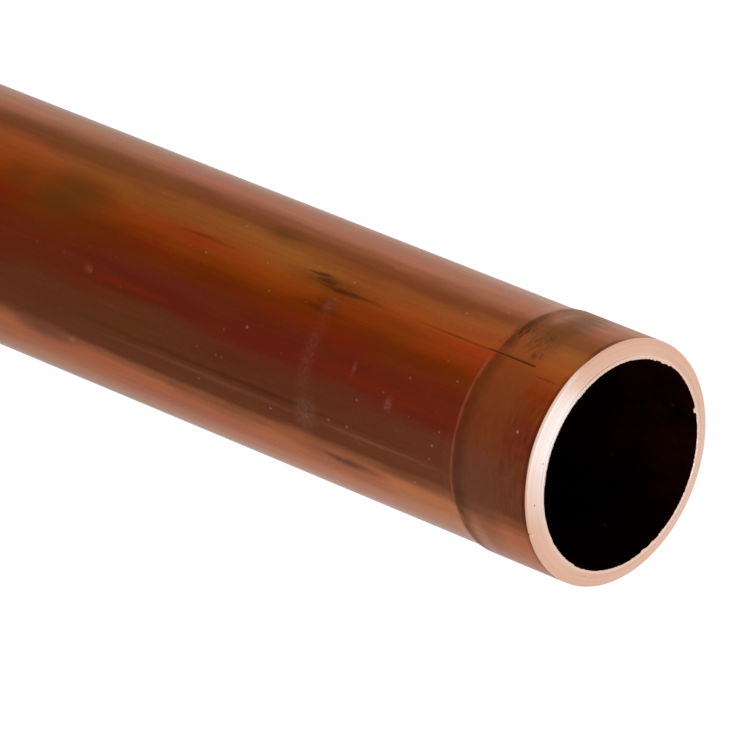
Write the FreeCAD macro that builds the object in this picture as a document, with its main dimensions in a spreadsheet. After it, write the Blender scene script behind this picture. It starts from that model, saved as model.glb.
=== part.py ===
"""Copper pipe length: a drawn round tube with one end sized and cut off by a wheel cutter.

The pipe stands on its plain end, with its axis along Z and its sized and wheel-cut end at the top.
The origin is the centre of the plain end, on the floor that the pipe stands on.
Lengths are in millimetres and angles in degrees.
"""

import math
import os

import FreeCAD, Part
import Sketcher

NODE = "copper_pipe"
EDGE_TOLERANCE = 1e-4

SIZES = [
    ("outer_diameter", 15.0, "outside of the drawn tube"),
    ("wall", 1.0, "wall thickness of the drawn tube"),
    ("pipe_length", 300.0, "length from the plain end to the cut end's lip, before its round"),
    ("band_length", 7.4, "how far the sizing band and its slope reach down from the cut end"),
    ("band_raise", 0.12, "how far the sizing band stands above the outside of the tube"),
    ("band_ramp", 0.9, "length of the slope that leads up to the sizing band"),
    ("cutter_angle", 20.0, "slope that the cutter wheel leaves on the end face"),
    ("rim_round", 0.12, "radius rolled on the outer edge of the cut end"),
    ("lip_round", 0.08, "radius left on the inner edge of the cut end"),
    ("plain_end_chamfer", 0.2, "deburring chamfer on both edges of the plain end"),
]

# Distances from the pipe's axis and heights that corners of its section share, on the sheet
OUTSIDE = "Sizes.outer_diameter / 2"
BORE = "Sizes.outer_diameter / 2 - Sizes.wall"
BAND_TOP = "Sizes.outer_diameter / 2 + Sizes.band_raise"
CUT_END = "Sizes.pipe_length"
BAND_FOOT = "Sizes.pipe_length - Sizes.band_length"
BAND_CREST = "Sizes.pipe_length - Sizes.band_length + Sizes.band_ramp"


def add_sizes(doc):
    """The driving dimensions, one row each: name, value and what it measures."""
    sheet = doc.addObject("Spreadsheet::Sheet", "Sizes")
    for row, (alias, value, meaning) in enumerate(SIZES, start=1):
        sheet.set(f"A{row}", alias)
        sheet.set(f"B{row}", str(value))
        sheet.setAlias(f"B{row}", alias)
        sheet.set(f"C{row}", meaning)
    doc.recompute()
    return sheet


def section_corners(sheet):
    """The corners of the wall's section, as (distance from the pipe's axis, height).

    They go from the plain end up the bore to the lip, out to the rim, down the band to its crest
    and foot, and down the outside to the plain end.
    """
    outside = sheet.outer_diameter / 2
    bore = outside - sheet.wall
    band_top = outside + sheet.band_raise
    cut_end = sheet.pipe_length
    band_foot = cut_end - sheet.band_length
    setback = (band_top - bore) * math.tan(math.radians(sheet.cutter_angle))
    return {
        "plain_bore": (bore, 0),
        "lip": (bore, cut_end),
        "rim": (band_top, cut_end - setback),
        "crest": (band_top, band_foot + sheet.band_ramp),
        "foot": (outside, band_foot),
        "plain_outside": (outside, 0),
    }


def bind(sketch, expression, *constraint):
    """Adds a constraint whose value comes from the sheet."""
    index = sketch.addConstraint(Sketcher.Constraint(*constraint))
    sketch.setExpression(f"Constraints[{index}]", expression)


def round_corner(sketch, side, radius, expression):
    """Rounds the corner where a side ends. Returns the sharp corner, which stays as a point."""
    sketch.fillet(side, 2, radius, True, True)
    arc = sketch.GeometryCount - 2
    bind(sketch, expression, "Radius", arc, radius)
    return arc + 1


def add_wall_section(body, sheet, corners):
    """The closed section of the wall on one side of the pipe's axis."""
    plane = next(f for f in body.Origin.OriginFeatures if f.Role == "XZ_Plane")
    sketch = body.newObject("Sketcher::SketchObject", "wall_section")
    sketch.AttachmentSupport = [(plane, "")]
    sketch.MapMode = "FlatFace"

    points = [FreeCAD.Vector(radius, height, 0) for radius, height in corners.values()]
    ends = points[1:] + points[:1]
    sides = [sketch.addGeometry(Part.LineSegment(a, b)) for a, b in zip(points, ends)]
    for side, following in zip(sides, sides[1:] + sides[:1]):
        sketch.addConstraint(Sketcher.Constraint("Coincident", side, 2, following, 1))
    bore, flank, band, ramp, outside, plain_end = sides

    # The cutter wheel leaves a round lip at the bore and rolls the rim over
    lip = round_corner(sketch, bore, sheet.lip_round, "Sizes.lip_round")
    round_corner(sketch, flank, sheet.rim_round, "Sizes.rim_round")

    for upright_side in (bore, band, outside):
        sketch.addConstraint(Sketcher.Constraint("Vertical", upright_side))
    sketch.addConstraint(Sketcher.Constraint("PointOnObject", bore, 1, -1))
    sketch.addConstraint(Sketcher.Constraint("PointOnObject", plain_end, 1, -1))
    places = [
        (lip, "lip", BORE, CUT_END),
        (ramp, "crest", BAND_TOP, BAND_CREST),
        (outside, "foot", OUTSIDE, BAND_FOOT),
    ]
    for geometry, corner, radius, height in places:
        bind(sketch, radius, "DistanceX", -1, 1, geometry, 1, corners[corner][0])
        bind(sketch, height, "DistanceY", -1, 1, geometry, 1, corners[corner][1])
    bind(sketch, "Sizes.cutter_angle * 1 deg", "Angle", flank, -1, math.radians(sheet.cutter_angle))
    return sketch


def round_edge(shape, radius, height):
    """The name of the round edge of that radius at that height."""
    for number, edge in enumerate(shape.Edges, start=1):
        if not isinstance(edge.Curve, Part.Circle):
            continue
        radius_gap = abs(edge.Curve.Radius - radius)
        height_gap = abs(edge.Curve.Center.z - height)
        if max(radius_gap, height_gap) < EDGE_TOLERANCE:
            return f"Edge{number}"
    raise RuntimeError(f"no round edge of radius {radius} at height {height}")


def deburr_plain_end(doc, body, corners):
    """The small chamfers on both edges of the plain end."""
    doc.recompute()
    wall = body.Tip
    edges = [round_edge(wall.Shape, *corners[name]) for name in ("plain_bore", "plain_outside")]
    chamfer = body.newObject("PartDesign::Chamfer", "deburred_end")
    chamfer.Base = (wall, edges)
    chamfer.setExpression("Size", "Sizes.plain_end_chamfer")


def add_pipe(doc, sheet):
    """The whole pipe, one piece of metal: its wall's section turned once round the axis."""
    body = doc.addObject("PartDesign::Body", "Pipe")
    body.Label = NODE
    corners = section_corners(sheet)
    section = add_wall_section(body, sheet, corners)
    wall = body.newObject("PartDesign::Revolution", "turned_wall")
    wall.Profile = section
    wall.ReferenceAxis = (section, ["V_Axis"])
    wall.Angle = 360
    deburr_plain_end(doc, body, corners)
    doc.recompute()
    return body


def check(doc, body):
    """Stops before anything is written if a feature failed or the solid is not sound."""
    failed = [obj.Name for obj in doc.Objects if {"Invalid", "Error"} & set(obj.State)]
    if failed:
        raise RuntimeError(f"failed features: {failed}")
    if body.Shape.isNull() or not body.Shape.isValid():
        raise RuntimeError(f"{body.Label} has no valid shape")


def main():
    doc = FreeCAD.newDocument("CopperPipe")
    sheet = add_sizes(doc)
    pipe = add_pipe(doc, sheet)
    check(doc, pipe)
    os.makedirs("parts", exist_ok=True)
    pipe.Shape.exportStep(f"parts/{pipe.Label}.step")


main()
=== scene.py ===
"""A length of copper pipe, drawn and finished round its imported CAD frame.

The pipe stands on its plain end on the floor, with its sized and wheel-cut end at the top.
Lengths are in metres, in the CAD frame: the axis is Z and the origin is the centre of the plain end.
Angles round the pipe are in degrees from its front, the side that faces -Y, and grow towards +X.
Marks on the wall are placed by that angle and by their height above the plain end in millimetres.
"""

from functools import partial
import math

import bmesh
import bpy
from mathutils import Matrix, Vector


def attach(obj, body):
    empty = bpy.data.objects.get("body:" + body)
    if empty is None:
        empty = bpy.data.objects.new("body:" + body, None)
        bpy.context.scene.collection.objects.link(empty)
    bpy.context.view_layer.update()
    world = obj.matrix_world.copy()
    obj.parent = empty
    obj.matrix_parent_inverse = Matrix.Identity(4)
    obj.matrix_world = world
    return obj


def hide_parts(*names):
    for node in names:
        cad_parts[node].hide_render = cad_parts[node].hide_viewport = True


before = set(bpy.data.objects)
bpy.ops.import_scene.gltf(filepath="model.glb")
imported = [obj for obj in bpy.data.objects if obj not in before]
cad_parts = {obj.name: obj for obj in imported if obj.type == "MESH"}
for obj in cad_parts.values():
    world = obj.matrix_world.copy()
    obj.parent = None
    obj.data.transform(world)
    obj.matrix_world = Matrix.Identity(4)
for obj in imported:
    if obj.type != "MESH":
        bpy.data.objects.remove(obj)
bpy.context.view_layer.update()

bl_info = {
    "name": "Copper Pipe Length",
    "version": (1, 0, 0),
    "blender": (4, 5, 0),
    "location": "View3D > Sidebar > Copper Pipe",
    "description": "Draws a tarnished copper pipe with a wheel-cut end, and sets a plain studio round it",
    "category": "Object",
}

NODE = "copper_pipe"
MM = 0.001

# A vertex that is closer to a place on the wall than this is at that place
NEAR = 0.01 * MM


def from_hex(text):
    """The linear colour of an sRGB hex value such as #B87333."""
    parts = [int(text[i:i + 2], 16) / 255 for i in (1, 3, 5)]
    return tuple(p / 12.92 if p <= 0.04045 else ((p + 0.055) / 1.055) ** 2.4 for p in parts)


def length(name, description, default):
    """A length that the user can change, with its default in millimetres."""
    return bpy.props.FloatProperty(
        name=name, description=description, default=default * MM, precision=5,
        subtype="DISTANCE", unit="LENGTH")


def colour(name, description, default):
    """A colour that the user can change, with its default as an sRGB hex value."""
    return bpy.props.FloatVectorProperty(
        name=name, description=description, default=(*from_hex(default), 1), size=4, min=0, max=1,
        subtype="COLOR")


def angle(name, description, default):
    """An angle that the user can change, with its default in degrees."""
    return bpy.props.FloatProperty(
        name=name, description=description, default=math.radians(default), subtype="ANGLE")


def level(name, description, default):
    """A brightness that the user can change."""
    return bpy.props.FloatProperty(name=name, description=description, default=default, min=0)


class PipeSizes(bpy.types.PropertyGroup):
    """The pipe's own sizes, the same as in its CAD source, and those of its finest details."""

    outside: length("Outside", "Outside diameter of the drawn tube", 15.0)
    wall: length("Wall", "Wall thickness", 1.0)
    pipe_length: length("Length", "From the plain end to the lip of the cut end, before its round", 300.0)
    band_length: length("Band length", "How far the sizing band and its slope reach down", 7.4)
    band_raise: length("Band raise", "How far the sizing band stands above the tube", 0.12)
    band_ramp: length("Band slope", "Length of the slope up to the sizing band", 0.9)
    cutter_angle: angle("Cutter angle", "Slope that the cutter wheel leaves on the end face", 20.0)
    rim_round: length("Rim round", "Radius rolled on the outer edge of the cut end", 0.12)
    lip_round: length("Lip round", "Radius left on the inner edge of the cut end", 0.08)
    end_chamfer: length("Plain end chamfer", "Deburring chamfer on the plain end", 0.2)
    mouth_depth: length("Mouth depth", "Depth of the bore that is modelled finely", 2.0)
    cut_reach: length("Cut reach", "How far the bright cut reaches down the outside of the rim", 0.09)
    lip_depth: length("Lip depth", "How far down the bore the lip is ragged", 0.16)
    lip_roughness: length("Lip roughness", "How far points of the lip stray from their place", 0.014)
    nick_angle: angle("Nick angle", "Where the rim is nicked, from the front", 49.5)
    nick_depth: length("Nick depth", "How deep the nick in the rim is", 0.08)
    facets: bpy.props.IntProperty(
        name="Facets", description="Faces round the pipe", default=480, min=48, max=720)


class PipeColours(bpy.types.PropertyGroup):
    """The colours of the tarnish, of the fresh cut and of the bore. Some of them also paint reflection,
    highlights and shade, as noted below.
    """

    # Rose at the sides seen from the front, and maroon and walnut in the front middle, make bands that
    # are partly painted reflection
    rose: colour("Rose", "Thin tarnish over pink copper", "#9F6045")
    salmon: colour("Salmon", "Thin warm tarnish", "#9A5737")
    umber: colour("Umber", "Brown tarnish", "#723918")
    amber: colour("Amber", "Golden brown tarnish", "#8E4B1E")
    orange: colour("Orange", "Orange tarnish", "#883A0C")
    rust: colour("Rust", "Red brown tarnish", "#672703")
    maroon: colour("Maroon", "Dark red tarnish", "#5E200E")
    walnut: colour("Walnut", "Dark brown tarnish", "#5A2B17")
    olive: colour("Olive", "Greenish brown blotches", "#5A300C")
    ember: colour("Ember", "Red streaks", "#7A1E0C")
    plum: colour("Plum", "Purple brown stains", "#5C2F26")
    matt: colour("Matt", "Pale brown haze on the sizing band", "#805A3A")
    rubbed: colour("Rubbed", "Warm brown where the sizing tool rubbed the band", "#7C421E")
    dun: colour("Dun", "Purple brown where the sizing tool rubbed the band", "#6B4030")
    # The crest colour paints a highlight along the crest of the sizing band, at the front
    crest: colour("Crest", "Line rubbed paler on the crest of the sizing band", "#93553C")
    # Soot also paints the shade above the sizing band's crest and along the rim
    soot_and_shade: colour("Soot", "Black drag marks and smudges", "#1C0C06")
    dust: colour("Dust", "Dust and pale scuffs", "#B98F7C")
    sheen: colour("Sheen", "Warm grey that tints the tarnish where it is seen at a slant", "#E5DBD1")
    fresh: colour("Fresh cut", "Bright copper that the cutter wheel left", "#DBAE96")
    # Lip also paints highlights at the front: over the cut end's inner half, and along the rim on both
    # sides of the cut
    lip: colour("Lip", "Brightest copper, along the lip and the rim", "#EBC9B6")
    bore: colour("Bore", "Dark oxide inside the pipe", "#4C180E")


class StageSettings(bpy.types.PropertyGroup):
    """The floor, the light and the camera."""

    floor: colour("Floor", "Pale floor that the pipe stands on", "#F4F3F1")
    floor_size: length("Floor size", "Side of the floor", 20000)
    floor_glow: level("Floor glow", "Glow that lets the camera see the floor as white", 0.5)
    sky: colour("Surroundings", "Plain white all round", "#FFFFFF")
    fill: level("Fill", "Level of the even light from all round", 0.55)
    key: level("Key", "Brightness of the softbox overhead", 1.7)
    key_colour: colour("Key colour", "Cool daylight of both softboxes", "#86CDFF")
    key_width: length("Key width", "Width of the softbox overhead", 400)
    key_across: length("Key place", "Where the softbox overhead hangs, across the pipe", -30)
    side: level("Side", "Brightness of the dimmer softbox beside it", 0.8)
    side_width: length("Side width", "Width of the dimmer softbox", 300)
    side_across: length("Side place", "Where the dimmer softbox hangs, across the pipe", 320)
    box_depth: length("Softbox depth", "Depth of both softboxes", 420)
    box_back: length("Softbox setback", "How far behind the pipe both softboxes hang", 170)
    box_height: length("Softbox height", "How high both softboxes hang", 1200)
    camera_y: length("Camera distance", "How far in front of the pipe the camera stands", 424.4)
    camera_z: length("Camera height", "How high the camera stands", 640.5)
    aim_x: length("Aim across", "Where the camera looks, across the pipe", 0.55)
    aim_z: length("Aim height", "Where the camera looks, up the pipe", 279.84)
    roll: angle("Roll", "How far the camera is turned on its side", 112.1)
    lens: bpy.props.FloatProperty(
        name="Lens", description="Focal length in millimetres", default=446.2, min=1,
        subtype="DISTANCE_CAMERA")


def add_node(tree, kind, inputs=(), out=0, **settings):
    """Adds a node with its settings, gives inputs a value or a link, and returns one output."""
    node = tree.nodes.new("ShaderNode" + kind)
    for name, value in settings.items():
        setattr(node, name, value)
    for key, value in inputs.items() if isinstance(inputs, dict) else enumerate(inputs):
        if isinstance(value, bpy.types.NodeSocket):
            tree.links.new(value, node.inputs[key])
        else:
            node.inputs[key].default_value = value
    return node.outputs[out] if len(node.outputs) else node


def new_material(name):
    """An empty node material, and a call that adds nodes to it."""
    material = bpy.data.materials.new(name)
    material.use_nodes = True
    material.node_tree.nodes.clear()
    return material, partial(add_node, material.node_tree)


def pipe_place(add):
    """Where a point is: its place, its angle round the pipe in degrees, and its height in mm."""
    place = add("TexCoord", out="Object")
    x = add("SeparateXYZ", [place], out=0)
    y = add("SeparateXYZ", [place], out=1)
    z = add("SeparateXYZ", [place], out=2)
    front = add("Math", [y, -1.0], operation="MULTIPLY")
    turn = add("Math", [x, front], operation="ARCTAN2")
    degrees = add("Math", [turn, math.degrees(1)], operation="MULTIPLY")
    height = add("Math", [z, 1 / MM], operation="MULTIPLY")
    return place, degrees, height


def streaks(add, place, width, run, detail=2.0, seed=0.0):
    """Noise drawn out along the pipe: width and run are the sizes of one streak, in mm."""
    across = 1 / (width * MM)
    along = 1 / (run * MM)
    drawn = add(
        "Mapping", {"Vector": place, "Location": (seed, seed, seed), "Scale": (across, across, along)})
    return add("TexNoise", {"Vector": drawn, "Scale": 1.0, "Detail": detail, "Roughness": 0.55})


def spots(add, sheet, ovals):
    """Soft oval spots on a sheet: each is its place, its half size both ways, and its strength."""
    result = 0.0
    for at_x, at_y, half_x, half_y, strength in ovals:
        centred = add(
            "Mapping", {"Vector": sheet, "Location": (at_x, at_y, 0), "Scale": (half_x, half_y, 1)},
            vector_type="TEXTURE")
        reach = add("VectorMath", [centred], out="Value", operation="LENGTH")
        spot = add("MapRange", [reach, 1.0, 0.0, 0.0, strength], interpolation_type="SMOOTHSTEP")
        result = add("Math", [result, spot], operation="MAXIMUM")
    return result


def between(add, value, start, full, fade, end):
    """1 where a value lies between full and fade, with soft edges out to start and end."""
    rise = add("MapRange", [value, start, full, 0.0, 1.0], interpolation_type="SMOOTHSTEP")
    fall = add("MapRange", [value, fade, end, 1.0, 0.0], interpolation_type="SMOOTHSTEP")
    return add("Math", [rise, fall], operation="MULTIPLY")


def combine(add, operation, *masks):
    """All the masks, multiplied together or the strongest at each point."""
    result = masks[0]
    for mask in masks[1:]:
        result = add("Math", [result, mask], operation=operation)
    return result


def lay_over(add, finished, layers):
    """A colour with tints laid over it in turn, each as strongly as its mask says."""
    # A Mix node's mask is its input 0, its colours are inputs 6 and 7, and its mixed colour is output 2
    for mask, tint in layers:
        finished = add("Mix", {0: mask, 6: finished, 7: tint}, out=2, data_type="RGBA")
    return finished


class Wall:
    """The outside of the pipe unrolled, as a sheet of angle and height on which the marks lie."""

    def __init__(self, add):
        self.add = add
        self.place, self.degrees, self.height = pipe_place(add)
        self.sheet = add("CombineXYZ", [self.degrees, self.height, 0.0])
        # The same sheet torn by up to 1.8 degrees and 1 mm, which gives stains ragged borders
        sway = add("MapRange", [streaks(add, self.place, 0.7, 2.5, 3, 3.1), 0.0, 1.0, -1.8, 1.8])
        slip = add("MapRange", [streaks(add, self.place, 0.4, 2.5, 3, 8.3), 0.0, 1.0, -1.0, 1.0])
        tear = add("CombineXYZ", [sway, slip, 0.0])
        self.torn = add("VectorMath", [self.sheet, tear], operation="ADD")
        # Patches about 1.3 mm across
        self.mottle = add("TexNoise", {"Vector": self.place, "Scale": 1 / (1.3 * MM), "Detail": 4.0})


def tarnish_and_reflection_bands(add, colours, degrees):
    """The broad bands round the pipe, as a colour for each angle: partly tarnish, partly painted
    reflection.

    The darker maroon and walnut middle at the front is painted reflection of darker surroundings,
    and the rose bands about 62 to 86 degrees either side are painted pale reflection seen at a slant.
    """
    bands = [
        (-180, colours.umber), (-164, colours.salmon), (-146, colours.umber), (-128, colours.amber),
        (-108, colours.salmon), (-86, colours.rose), (-62, colours.rose), (-50, colours.umber),
        (-45, colours.umber), (-37, colours.amber), (-25, colours.orange), (-12, colours.rust),
        (2, colours.maroon), (13, colours.maroon), (22, colours.walnut), (43, colours.walnut),
        (53, colours.salmon), (60, colours.salmon), (70, colours.rose), (86, colours.rose),
        (106, colours.salmon), (126, colours.umber), (144, colours.rust), (160, colours.walnut),
        (180, colours.umber),
    ]
    turn = add("MapRange", [degrees, -180.0, 180.0, 0.0, 1.0])
    shade = add("ValToRGB", [turn])
    stops = shade.node.color_ramp.elements
    stops.remove(stops[1])
    for at, tint in bands:
        stop = stops[0] if at == -180 else stops.new((at + 180) / 360)
        stop.position = (at + 180) / 360
        stop.color = tint
    return shade


def streaked_bands(wall, colours):
    """The bands with wandering, feathered borders, and tones that vary from streak to streak."""
    add = wall.add
    place = wall.place
    # Further down the pipe the bands wander more, and fade into plain brown
    wander = add("MapRange", [wall.height, 180.0, 250.0, 30.0, 5.0])
    plainness = add("MapRange", [wall.height, 140.0, 250.0, 0.6, 0.0])
    # Streaks of three widths and runs, in mm, and how many degrees each moves a border
    degrees = wall.degrees
    for width, run, sway in ((7, 90, wander), (2.4, 11, 8.0), (0.5, 14, 4.0)):
        drift = add("MapRange", [streaks(add, place, width, run, 3, width), 0.0, 1.0, -1.0, 1.0])
        drift = add("Math", [drift, sway], operation="MULTIPLY")
        degrees = add("Math", [degrees, drift], operation="ADD")
    bands = tarnish_and_reflection_bands(add, colours, degrees)
    patches = add("MapRange", [streaks(add, place, 6, 60, 3, 5.2), 0.35, 0.65, 0.0, 1.0])
    plain = lay_over(add, colours.umber, [(patches, colours.salmon)])
    bands = lay_over(add, bands, [(plainness, plain)])
    # The tarnish thins towards the cut end, and its tone varies with streaks and a fine grain
    tone = add("MapRange", [wall.height, 260.0, 298.0, 1.0, 1.24])
    for width, run, depth in ((1.8, 22, 0.13), (0.25, 7, 0.06), (0.14, 0.2, 0.06)):
        streak = streaks(add, place, width, run, 3, run)
        shade = add("MapRange", [streak, 0.25, 0.75, 1 - depth, 1 + depth])
        tone = add("Math", [tone, shade], operation="MULTIPLY")
    hue = add("MapRange", [streaks(add, place, 3, 13, 2, 9.1), 0.3, 0.7, 0.49, 0.506])
    return add("HueSaturation", {"Hue": hue, "Value": tone, "Color": bands})


def stains(wall, colours):
    """Layers of stain in the tarnish: thin patches, olive blotches, red streaks and purple tinges."""
    add = wall.add
    thin = spots(add, wall.torn, [(47, 297, 7, 4, 0.4)])
    golden = spots(add, wall.torn, [(-39, 284.5, 5, 6, 0.65)])
    blots = add("MapRange", [streaks(add, wall.place, 5, 16, 2, 6.4), 0.6, 0.75, 0.0, 0.4])
    olive = combine(add, "MAXIMUM", blots, spots(add, wall.torn, [
        (-24, 258.4, 20, 5.4, 0.85), (-18, 257.6, 17, 4.6, 0.85), (-21, 253.4, 12, 2.4, 0.6),
        (-45, 273.7, 7, 2.4, 0.65), (-62, 296.0, 38, 2.2, 0.75), (31, 266, 5, 9, 0.5),
        (-33, 264, 10, 12, 0.32), (-54, 287.5, 9, 7, 0.18)]))
    ember = spots(add, wall.torn, [
        (9, 265.5, 3, 6, 0.5), (-11, 250.5, 7, 5.5, 0.8), (-11, 266, 4, 7, 0.35), (9, 287, 4, 7, 0.3),
        (-6, 280, 5, 9, 0.45)])
    plum = spots(add, wall.torn, [
        (52.4, 284.4, 5, 4.4, 1.0), (52, 283.2, 6.5, 6, 0.55), (53, 275, 6.5, 3.4, 0.3),
        (48, 258.2, 8.5, 4.4, 0.75), (0, 268, 6, 9, 0.2), (66, 295.6, 26, 2.0, 0.4)])
    return [
        (thin, colours.salmon), (golden, colours.amber), (olive, colours.olive),
        (ember, colours.ember), (plum, colours.plum)]


def rubbed_band(wall, colours):
    """Layers of haze where the sizing tool rubbed the band dull: pale, warm brown and purple brown."""
    add = wall.add
    # Rub marks of the tool run round the pipe
    rub = streaks(add, wall.place, 0.8, 0.3, 4, 6.1)
    pale = combine(
        add, "MULTIPLY", add("MapRange", [rub, 0.35, 0.7, 0.03, 0.2]),
        between(add, wall.height, 293.7, 294.4, 299.1, 299.4))
    pale = combine(add, "MAXIMUM", pale, spots(add, wall.torn, [(-76, 295, 24, 2.4, 0.6)]))
    ragged = add("MapRange", [wall.mottle, 0.3, 0.7, -0.2, 0.2])
    ragged = add("Math", [wall.height, ragged], operation="ADD")
    zone = combine(
        add, "MULTIPLY", between(add, ragged, 293.3, 293.9, 296.5, 297.7),
        add("MapRange", [wall.mottle, 0.35, 0.7, 0.38, 0.62]))
    warm = combine(add, "MULTIPLY", zone, between(add, wall.degrees, -48.0, -20.0, 6.0, 32.0))
    purple = combine(add, "MULTIPLY", zone, between(add, wall.degrees, 6.0, 32.0, 46.0, 64.0))
    return [(pale, colours.matt), (warm, colours.rubbed), (purple, colours.dun)]


def band_lines(wall):
    """Masks of the lines round the sizing band: a painted highlight on its crest, and painted shade above
    the crest and along the rim.
    """
    add = wall.add
    front = between(add, wall.degrees, -30.0, -18.0, 42.0, 52.0)
    sides = add("Math", [1.0, front], operation="SUBTRACT")
    patchy = add("MapRange", [wall.mottle, 0.35, 0.65, 0.4, 1.0])
    # A paler line along the crest at the front: a painted highlight
    crest = combine(
        add, "MULTIPLY", front, patchy, 0.5, between(add, wall.height, 293.3, 293.42, 293.48, 293.64))
    # Painted shade: dark just above the crest, darkest at the sides, and dark again along the rim
    stop = combine(
        add, "MULTIPLY", between(add, wall.height, 293.5, 293.8, 294.0, 294.9),
        add("MapRange", [wall.mottle, 0.3, 0.7, 0.16, 0.45]))
    side_shade = combine(
        add, "MULTIPLY", sides, patchy, 0.7, between(add, wall.height, 293.5, 293.68, 293.95, 294.4))
    rim = combine(
        add, "MULTIPLY", between(add, wall.height, 299.1, 299.32, 299.9, 300.0),
        add("MapRange", [wall.mottle, 0.35, 0.65, 0.1, 0.4]))
    return crest, combine(add, "MAXIMUM", stop, side_shade, rim)


def rim_front_highlight(wall):
    """Mask of a painted highlight along the top edge of the outside at the front, next to the rim."""
    add = wall.add
    return combine(
        add, "MULTIPLY", between(add, wall.degrees, -42.0, -28.0, 6.0, 24.0),
        add("MapRange", [wall.height, 299.42, 299.47, 0.0, 0.9]))


def black_marks(wall):
    """Mask of a dragged streak, a scratch that runs up to the band and ends on it, smudges, and painted
    shade under the rim.
    """
    add = wall.add
    drag = spots(add, wall.torn, [
        (-26.4, 280.7, 2.6, 5.2, 0.75), (-28.5, 279.4, 4.4, 1.9, 0.7), (-31, 278.6, 2.4, 1.4, 0.75),
        (-27, 280.2, 8, 6.5, 0.38), (-19, 280.4, 7, 1.6, 0.35), (-15, 280.2, 3, 3.2, 0.4),
        (-26.5, 269, 1.5, 4, 0.35), (-38, 295.6, 12, 2, 0.15), (31.5, 276, 2.2, 22, 0.3)])
    scratch = combine(
        add, "MULTIPLY", spots(add, wall.sheet, [(-26.6, 295, 0.9, 400, 0.8)]),
        between(add, wall.height, 291.0, 294.0, 296.65, 296.8))
    # Fine marks; the last, along the rim at the front left, is painted shade under the rim
    fine_marks_and_rim_shade = spots(add, wall.sheet, [
        (-26.6, 291, 0.9, 5.5, 0.5), (-22.4, 298, 0.6, 1.6, 0.4), (-52, 299.3, 24, 0.18, 0.6)])
    strokes = add("MapRange", [streaks(add, wall.place, 0.6, 0.2, 3, 5.5), 0.42, 0.6, 0.05, 1.0])
    smudge = combine(add, "MULTIPLY", strokes, spots(add, wall.sheet, [
        (-42, 294.0, 12, 0.95, 0.9), (-33, 293.9, 8, 1.2, 0.5), (-32.5, 296.25, 5, 0.7, 0.75),
        (-38, 295.7, 15, 1.9, 0.45)]))
    return combine(add, "MAXIMUM", drag, scratch, fine_marks_and_rim_shade, smudge)


def pale_marks(wall):
    """Mask of scuffs, a rubbed line and specks of dust."""
    add = wall.add
    grit = add("TexNoise", {"Vector": wall.place, "Scale": 1 / (0.22 * MM), "Detail": 3.0})
    gritty = add("MapRange", [grit, 0.36, 0.66, 0.2, 1.0])
    scuff = combine(add, "MULTIPLY", gritty, spots(add, wall.sheet, [
        (34, 281.2, 13, 1.4, 0.15), (8, 280.8, 34, 0.9, 0.06), (-17, 280.6, 9, 0.7, 0.09),
        (-64, 294.8, 15, 0.7, 0.4), (68, 294.9, 20, 0.8, 0.45), (14, 287.8, 5, 0.5, 0.17),
        (5, 284.5, 5, 0.25, 0.15), (8.4, 261.9, 3, 0.5, 0.22), (47, 260.7, 3, 0.5, 0.22),
        (3.6, 298, 1.2, 0.14, 0.9)]))
    broken = add("MapRange", [streaks(add, wall.place, 0.3, 6, 2, 2.2), 0.35, 0.6, 0.2, 1.0])
    line = combine(add, "MULTIPLY", broken, spots(add, wall.sheet, [
        (35.4, 287.5, 1.9, 7.5, 0.11), (36, 273, 2.2, 12, 0.08)]))
    # A speck of its own size in each 0.8 mm of the wall, most of them too small to see
    cells = {"Vector": wall.place, "Scale": 1 / (0.8 * MM)}
    reach = add("TexVoronoi", cells, out="Distance")
    pick = add("SeparateColor", [add("TexVoronoi", cells, out="Color")])
    size = add("MapRange", [pick, 0.2, 1.0, 0.02, 0.17])
    inside = add("Math", [size, reach], operation="SUBTRACT")
    speck = add("MapRange", [inside, 0.0, 0.12, 0.0, 0.36])
    # Most of the dust lies just below the band
    dusty = between(add, wall.height, 262.0, 278.0, 291.5, 294.0)
    dust = combine(add, "MULTIPLY", speck, add("MapRange", [dusty, 0.0, 1.0, 0.15, 1.0]))
    return combine(add, "MAXIMUM", scuff, line, dust)


def tarnished_copper(colours):
    """Drawn copper left in the air: brown, orange and maroon tarnish in streaks along the pipe.

    The metal under the tarnish stays smooth, so it keeps a soft sheen that pales towards its edges.
    Its bands are partly painted reflection, and painted shade and painted highlights lie along the sizing
    band and the rim.
    """
    material, add = new_material("tarnished_drawn_copper")
    wall = Wall(add)
    hazes = rubbed_band(wall, colours)
    crest, painted_shade_lines = band_lines(wall)
    # The black marks, together with the painted shade above the crest and along the rim
    black = combine(add, "MAXIMUM", black_marks(wall), painted_shade_lines)
    pale = pale_marks(wall)
    # The crest line and the lip-coloured edge at the front of the rim are painted highlights, and the
    # soot layer also carries painted shade
    layers = stains(wall, colours) + hazes + [
        (crest, colours.crest), (black, colours.soot_and_shade), (pale, colours.dust),
        (rim_front_highlight(wall), colours.lip)]
    finished = lay_over(add, streaked_bands(wall, colours), layers)

    # Smooth where drawn, duller on the rubbed band, the scuffs and the smudges
    sooty = add("Math", [black, 0.6], operation="MULTIPLY")
    dull = combine(add, "MAXIMUM", *[mask for mask, tint in hazes], pale, sooty)
    roughness = add("MapRange", [dull, 0.0, 1.0, 0.29, 0.55])
    ripple = add("MapRange", [streaks(add, wall.place, 0.5, 30, 2, 4.4), 0.3, 0.7, -0.03, 0.03])
    roughness = add("Math", [roughness, ripple], operation="ADD")
    # Drawing lines, 0.16 mm wide: the real ones are finer, too fine to show
    lines = streaks(add, wall.place, 0.16, 40, 2, 7.7)
    relief = add("Math", [lines, black], operation="SUBTRACT")
    bump = add("Bump", {"Strength": 0.3, "Distance": 0.005 * MM, "Height": relief})
    shader = add("BsdfPrincipled", {
        "Base Color": finished, "Metallic": 1.0, "Roughness": roughness, "Normal": bump,
        "Specular Tint": colours.sheen})
    add("OutputMaterial", {"Surface": shader})
    return material


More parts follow.
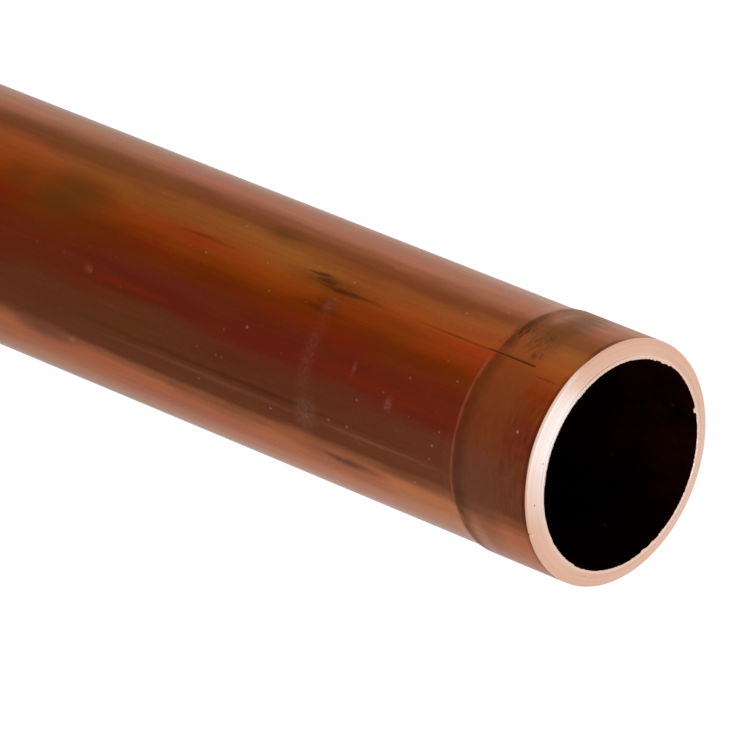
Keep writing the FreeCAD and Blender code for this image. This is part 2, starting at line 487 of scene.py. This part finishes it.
def wheel_cut_copper(colours):
    """Copper fresh from the cutter wheel: bright and pink, and brightest along its lip, with painted
    highlights at the front over its inner half and on its rim.

    The wheel leaves fine rings round the axis, which break the reflections into arcs.
    """
    material, add = new_material("wheel_cut_copper")
    place, degrees, _ = pipe_place(add)
    flat = add("VectorMath", [place, (1 / MM, 1 / MM, 0.0)], operation="MULTIPLY")
    radius = add("VectorMath", [flat], out="Value", operation="LENGTH")

    # Rings 0.2 and 0.05 mm apart, which fade in and out round the end: the real ones are finer still,
    # too fine to show
    fade = add("TexNoise", {"Vector": place, "Scale": 1 / (4 * MM), "Detail": 1.0})
    tone = 1.0
    for apart, depth in ((0.2, 0.08), (0.05, 0.055)):
        turn = add("Math", [radius, 1 / apart], operation="MULTIPLY")
        ringed = add("CombineXYZ", [turn, fade, 0.0])
        rings = add("TexNoise", {"Vector": ringed, "Scale": 1.0, "Detail": 2.0})
        shade = add("MapRange", [rings, 0.25, 0.75, 1 - depth, 1 + depth])
        tone = add("Math", [tone, shade], operation="MULTIPLY")
    cut = add("HueSaturation", {"Value": tone, "Color": colours.fresh})

    # Brighter along the lip; at the front, painted highlights over the inner half and on the rim's round
    lip = add("MapRange", [radius, 6.64, 6.7, 0.8, 0.0], interpolation_type="SMOOTHSTEP")
    inner_highlight = combine(
        add, "MULTIPLY", between(add, degrees, -115.0, -70.0, 70.0, 115.0),
        add("MapRange", [radius, 6.6, 7.2, 0.6, 0.0]))
    # A painted highlight on the rim's round at the front
    rolled = combine(
        add, "MULTIPLY", between(add, degrees, -38.0, -27.0, 10.0, 34.0),
        add("MapRange", [radius, 7.46, 7.54, 0.0, 1.0]))
    bright = combine(add, "MAXIMUM", lip, inner_highlight, rolled)
    # Painted shade of a fine furrow beside the lip at the front, and a few pits
    lip_furrow_shade = combine(
        add, "MULTIPLY", between(add, radius, 6.66, 6.71, 6.72, 6.79),
        between(add, degrees, -75.0, -45.0, 15.0, 55.0),
        add("MapRange", [fade, 0.35, 0.65, 0.15, 0.5]))
    pits = spots(add, add("CombineXYZ", [degrees, radius, 0.0]), [
        (14, 6.85, 1.0, 0.07, 0.8), (35, 7.1, 1.0, 0.07, 0.8),
        (-118, 7.0, 0.8, 0.06, 0.6), (97, 6.9, 0.8, 0.06, 0.6)])
    finished = lay_over(add, cut, [
        (bright, colours.lip), (lip_furrow_shade, colours.salmon), (pits, colours.umber)])

    # The finer rings also ripple the sheen
    roughness = add("MapRange", [rings, 0.2, 0.8, 0.16, 0.3])
    bump = add("Bump", {"Strength": 0.5, "Distance": 0.008 * MM, "Height": rings})
    shader = add("BsdfPrincipled", {
        "Base Color": finished, "Metallic": 1.0, "Roughness": roughness, "Normal": bump})
    add("OutputMaterial", {"Surface": shader})
    return material


def oxidised_bore(colours):
    """Copper under dark oxide from annealing: nearly black, with a red tinge and a few red flecks."""
    material, add = new_material("oxidised_bore_copper")
    place, degrees, height = pipe_place(add)
    # The oxide is a little thicker near the mouth. From side to side its tone is painted light and shade:
    # lighter from -180 to -90 degrees, darker from 20 to 180 degrees
    mouth = add("MapRange", [height, 293.0, 299.0, 1.0, 0.85])
    cloud = add("MapRange", [streaks(add, place, 1.6, 3, 3, 1.2), 0.3, 0.7, 0.3, 1.7])
    thin = add("MapRange", [between(add, degrees, -180.0, -165.0, -120.0, -90.0), 0.0, 1.0, 1.0, 1.7])
    shaded_side = add("MapRange", [between(add, degrees, 20.0, 60.0, 165.0, 180.0), 0.0, 1.0, 1.0, 0.4])
    tone = combine(add, "MULTIPLY", mouth, cloud, thin, shaded_side)
    oxide = add("HueSaturation", {"Value": tone, "Color": colours.bore})
    cell = add("TexVoronoi", {"Vector": place, "Scale": 1 / (2.2 * MM)}, out="Distance")
    fleck = add("MapRange", [cell, 0.05, 0.09, 1.0, 0.0])
    finished = lay_over(add, oxide, [(fleck, colours.rose)])
    shader = add("BsdfPrincipled", {"Base Color": finished, "Metallic": 1.0, "Roughness": 0.42})
    add("OutputMaterial", {"Surface": shader})
    return material


def radius_of(vertex):
    """How far a vertex is from the axis."""
    return math.hypot(vertex.co.x, vertex.co.y)


def degrees_of(vertex):
    """The angle of a vertex round the pipe, from the front."""
    return math.degrees(math.atan2(vertex.co.x, -vertex.co.y))


def select_where(pipe, kind, test):
    """Selects the pipe's vertices, edges or faces that pass the test, and nothing else."""
    bpy.ops.mesh.select_mode(type=kind)
    bpy.ops.mesh.select_all(action="DESELECT")
    mesh = bmesh.from_edit_mesh(pipe.data)
    elements = {"VERT": mesh.verts, "EDGE": mesh.edges, "FACE": mesh.faces}[kind]
    found = 0
    for element in elements:
        if test(element):
            element.select_set(True)
            found += 1
    if not found:
        raise RuntimeError(f"nothing to select on {pipe.name}")
    mesh.select_flush_mode()
    bmesh.update_edit_mesh(pipe.data)


def wall_rings(sizes):
    """The corners of the wall, by name, as (radius, height).

    They go from the plain end up the outside, over the cut end and down the bore.
    """
    outside = sizes.outside / 2
    bore = outside - sizes.wall
    band = outside + sizes.band_raise
    foot = sizes.pipe_length - sizes.band_length
    setback = (band - bore) * math.tan(sizes.cutter_angle)
    chamfer = sizes.end_chamfer
    return {
        "plain_outside": (outside - chamfer, 0),
        "outside": (outside, chamfer),
        "foot": (outside, foot),
        "crest": (band, foot + sizes.band_ramp),
        "rim": (band, sizes.pipe_length - setback),
        "lip": (bore, sizes.pipe_length),
        "mouth": (bore, sizes.pipe_length - sizes.mouth_depth),
        "bore": (bore, chamfer),
        "plain_bore": (bore + chamfer, 0),
    }


def extrude_wall(sizes):
    """Extrudes a circle at the plain end from corner to corner, and joins the last to the first."""
    rings = list(wall_rings(sizes).values())
    radius, height = rings[0]
    bpy.ops.object.select_all(action="DESELECT")
    bpy.ops.mesh.primitive_circle_add(
        vertices=sizes.facets, radius=radius, fill_type="NOTHING", location=(0, 0, height))
    pipe = bpy.context.object
    pipe.name = "pipe"
    bpy.ops.object.mode_set(mode="EDIT")
    bpy.ops.mesh.select_mode(type="EDGE")
    bpy.ops.mesh.select_all(action="SELECT")
    for next_radius, next_height in rings[1:]:
        rise = next_height - height
        grow = next_radius / radius
        bpy.ops.mesh.extrude_region_move(TRANSFORM_OT_translate={"value": (0, 0, rise)})
        bpy.ops.transform.resize(value=(grow, grow, 1), center_override=(0, 0, next_height))
        radius, height = next_radius, next_height
    select_where(pipe, "EDGE", lambda edge: max(v.co.z for v in edge.verts) < NEAR)
    bpy.ops.mesh.bridge_edge_loops()
    return pipe


def is_at(vertex, ring):
    """Whether a vertex lies on the ring, given as (radius, height)."""
    return max(abs(radius_of(vertex) - ring[0]), abs(vertex.co.z - ring[1])) < NEAR


def divide_wall(pipe, sizes):
    """Adds rings to each stretch of the wall, close together near the cut end."""
    rings = wall_rings(sizes)
    stretches = [
        ("outside", "foot", 30), ("foot", "crest", 5), ("crest", "rim", 40), ("rim", "lip", 7),
        ("lip", "mouth", 11), ("mouth", "bore", 30),
    ]
    for low, high, cuts in stretches:
        pair = (rings[low], rings[high])
        select_where(pipe, "EDGE", lambda edge: all(any(is_at(v, r) for v in edge.verts) for r in pair))
        bpy.ops.mesh.subdivide(number_cuts=cuts)


def roll_edges(pipe, sizes):
    """Rounds the rim and the lip of the cut end."""
    rings = wall_rings(sizes)
    turn = math.pi / 2 - sizes.cutter_angle
    for name, radius, bend in (("rim", sizes.rim_round, turn), ("lip", sizes.lip_round, math.pi - turn)):
        select_where(pipe, "EDGE", lambda edge: all(is_at(v, rings[name]) for v in edge.verts))
        bpy.ops.mesh.bevel(offset=radius * math.tan(bend / 2), segments=6, affect="EDGES")


def pull_burrs(pipe, sizes):
    """Pulls thin burrs in from the lip, and roughens it a little."""
    bore = wall_rings(sizes)["lip"][0]
    foot = sizes.pipe_length - sizes.lip_depth
    root = bore + 0.06 * MM
    shoulder = bore + 0.1 * MM
    # Each burr is a stretch of the lip, from one angle to another, and how far it stands in, in mm
    burrs = [
        (-64, 85, 0.04), (-97, -64, 0.06), (-92, -89, 0.05), (-136, -133, 0.16), (-84, -82, 0.03),
        (138, 141, 0.06), (146, 148, 0.05), (153, 156, 0.04), (-30, -24, 0.03), (20, 26, 0.02),
    ]
    for start, end, reach in burrs:
        select_where(
            pipe, "VERT",
            lambda v: start < degrees_of(v) < end and radius_of(v) < root and v.co.z > foot)
        pull = 1 - reach * MM / bore
        bpy.ops.transform.resize(value=(pull, pull, 1), center_override=(0, 0, sizes.pipe_length))
    # Points stray up as well as down, so the lip is lowered to stay within the pipe's length
    select_where(pipe, "VERT", lambda v: radius_of(v) < shoulder and v.co.z > foot)
    bpy.ops.transform.vertex_random(offset=sizes.lip_roughness, uniform=1.0, seed=4)
    bpy.ops.transform.translate(value=(0, 0, -sizes.lip_roughness))


def press_nick(pipe, sizes):
    """Presses a small nick in and down at one place on the rim."""
    rim, rim_height = wall_rings(sizes)["rim"]
    turn = sizes.nick_angle
    half_degrees = 0.7
    inner = rim - 0.1 * MM
    middle = rim_height - 0.05 * MM
    half_height = 0.08 * MM
    spread = 0.14 * MM
    select_where(
        pipe, "VERT",
        lambda v: abs(degrees_of(v) - math.degrees(turn)) < half_degrees and radius_of(v) > inner
        and abs(v.co.z - middle) < half_height)
    inward = Vector((-math.sin(turn), math.cos(turn), -0.4))
    bpy.ops.transform.translate(
        value=inward * sizes.nick_depth, use_proportional_edit=True,
        proportional_edit_falloff="SMOOTH", proportional_size=spread)


def paint_faces(pipe, index, test):
    """Gives the faces that pass the test the material with that number."""
    select_where(pipe, "FACE", test)
    pipe.active_material_index = index
    bpy.ops.object.material_slot_assign()


def paint_wall(pipe, sizes, colours):
    """Gives the outside its tarnish, both ends the bright cut, and the bore its oxide."""
    finishes = (tarnished_copper, wheel_cut_copper, oxidised_bore)
    for finish in finishes:
        pipe.data.materials.append(finish(colours))
    cut = wall_rings(sizes)["rim"][1] - sizes.cut_reach
    # How much of a face's normal points down at the plain end, and towards the axis in the bore
    down = 0.5
    inward = 0.8

    def is_cut(face):
        return face.calc_center_median().z > cut or face.normal.z < -down

    def is_bore(face):
        middle = face.calc_center_median()
        return middle.x * face.normal.x + middle.y * face.normal.y < -inward * middle.xy.length

    paint_faces(pipe, finishes.index(wheel_cut_copper), is_cut)
    paint_faces(pipe, finishes.index(oxidised_bore), is_bore)


class PIPE_OT_draw(bpy.types.Operator):
    """Draws the pipe and gives it its tarnished, fresh-cut and oxidised surfaces"""

    bl_idname = "object.draw_copper_pipe"
    bl_label = "Draw Copper Pipe"

    def execute(self, context):
        sizes = context.scene.pipe_sizes
        pipe = extrude_wall(sizes)
        divide_wall(pipe, sizes)
        roll_edges(pipe, sizes)
        bpy.ops.mesh.select_all(action="SELECT")
        bpy.ops.mesh.remove_doubles(threshold=0.001 * MM)
        bpy.ops.mesh.normals_make_consistent(inside=False)
        paint_wall(pipe, sizes, context.scene.pipe_colours)
        pull_burrs(pipe, sizes)
        press_nick(pipe, sizes)
        bpy.ops.object.mode_set(mode="OBJECT")
        bpy.ops.object.shade_smooth_by_angle(angle=math.radians(28))
        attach(pipe, "root")
        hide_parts(NODE)
        return {"FINISHED"}


def seen_white(add):
    """1 for the rays that should see white: the camera's, and reflections and views through glass."""
    result = 0.0
    for name in ("Is Camera Ray", "Is Glossy Ray", "Is Transmission Ray"):
        result = add("Math", [result, add("LightPath", out=name)], operation="MAXIMUM")
    return result


def lay_floor(settings):
    """Lays the floor, matt painted board: pale and even, with a soft shadow and no gloss.

    Its glow lifts it to white for the camera and for reflections, and the shadow still shows on it.
    """
    bpy.ops.object.select_all(action="DESELECT")
    bpy.ops.mesh.primitive_plane_add(size=settings.floor_size, location=(0, 0, 0))
    floor = bpy.context.object
    floor.name = "floor"
    material, add = new_material("pale_matt_floor")
    strength = add("Math", [seen_white(add), settings.floor_glow], operation="MULTIPLY")
    matt = add("BsdfDiffuse", [settings.floor])
    glow = add("Emission", {"Strength": strength})
    add("OutputMaterial", {"Surface": add("AddShader", [matt, glow])})
    floor.data.materials.append(material)


def hang_lights(scene, settings):
    """Lights the pipe evenly from all round, with two softboxes that the sloped cut end mirrors."""
    world = bpy.data.worlds.new("studio")
    scene.world = world
    world.use_nodes = True
    world.node_tree.nodes.clear()
    add = partial(add_node, world.node_tree)
    strength = add("MapRange", [seen_white(add), 0.0, 1.0, settings.fill, 1.0])
    add("OutputWorld", {"Surface": add("Background", [settings.sky, strength])})

    boxes = [
        ("softbox", settings.key, settings.key_width, settings.key_across),
        ("side_softbox", settings.side, settings.side_width, settings.side_across),
    ]
    for name, brightness, width, across in boxes:
        bpy.ops.object.light_add(type="AREA", location=(across, settings.box_back, settings.box_height))
        softbox = bpy.context.object
        softbox.name = name
        softbox.data.shape = "RECTANGLE"
        softbox.data.size = width
        softbox.data.size_y = settings.box_depth
        softbox.data.color = settings.key_colour[:3]
        softbox.data.energy = brightness * math.pi * width * settings.box_depth


def place_camera(scene, settings):
    """Stands the camera in front of the cut end and above it, turned on its side."""
    bpy.ops.object.camera_add(location=(0, -settings.camera_y, settings.camera_z))
    camera = bpy.context.object
    aim = Vector((settings.aim_x, 0, settings.aim_z)) - camera.location
    level_view = aim.to_track_quat("-Z", "Y").to_matrix().to_4x4()
    camera.rotation_euler = (level_view @ Matrix.Rotation(settings.roll, 4, "Z")).to_euler()
    camera.data.lens = settings.lens
    camera.data.sensor_width = 36
    camera.data.clip_start = 0.01
    camera.data.clip_end = 100
    scene.camera = camera


class PIPE_OT_stage(bpy.types.Operator):
    """Sets the pale floor, the soft light and the camera round the pipe"""

    bl_idname = "scene.set_copper_pipe_stage"
    bl_label = "Set Pipe Stage"

    def execute(self, context):
        scene = context.scene
        scene.view_settings.view_transform = "Standard"
        lay_floor(scene.pipe_stage)
        hang_lights(scene, scene.pipe_stage)
        place_camera(scene, scene.pipe_stage)
        return {"FINISHED"}


class PIPE_PT_panel(bpy.types.Panel):
    """Lists the pipe's and the stage's settings"""

    bl_idname = "VIEW3D_PT_copper_pipe"
    bl_label = "Copper Pipe"
    bl_space_type = "VIEW_3D"
    bl_region_type = "UI"
    bl_category = "Copper Pipe"

    def draw(self, context):
        scene = context.scene
        for group in (scene.pipe_sizes, scene.pipe_colours, scene.pipe_stage):
            column = self.layout.column()
            for name in group.bl_rna.properties.keys():
                if name not in ("rna_type", "name"):
                    column.prop(group, name)
        self.layout.operator(PIPE_OT_draw.bl_idname)
        self.layout.operator(PIPE_OT_stage.bl_idname)


CLASSES = (PipeSizes, PipeColours, StageSettings, PIPE_OT_draw, PIPE_OT_stage, PIPE_PT_panel)


def register():
    for item in CLASSES:
        bpy.utils.register_class(item)
    bpy.types.Scene.pipe_sizes = bpy.props.PointerProperty(type=PipeSizes)
    bpy.types.Scene.pipe_colours = bpy.props.PointerProperty(type=PipeColours)
    bpy.types.Scene.pipe_stage = bpy.props.PointerProperty(type=StageSettings)


def unregister():
    del bpy.types.Scene.pipe_sizes
    del bpy.types.Scene.pipe_colours
    del bpy.types.Scene.pipe_stage
    for item in reversed(CLASSES):
        bpy.utils.unregister_class(item)


def main():
    register()
    bpy.ops.object.draw_copper_pipe()
    bpy.ops.scene.set_copper_pipe_stage()


if __name__ == "__main__":
    main()
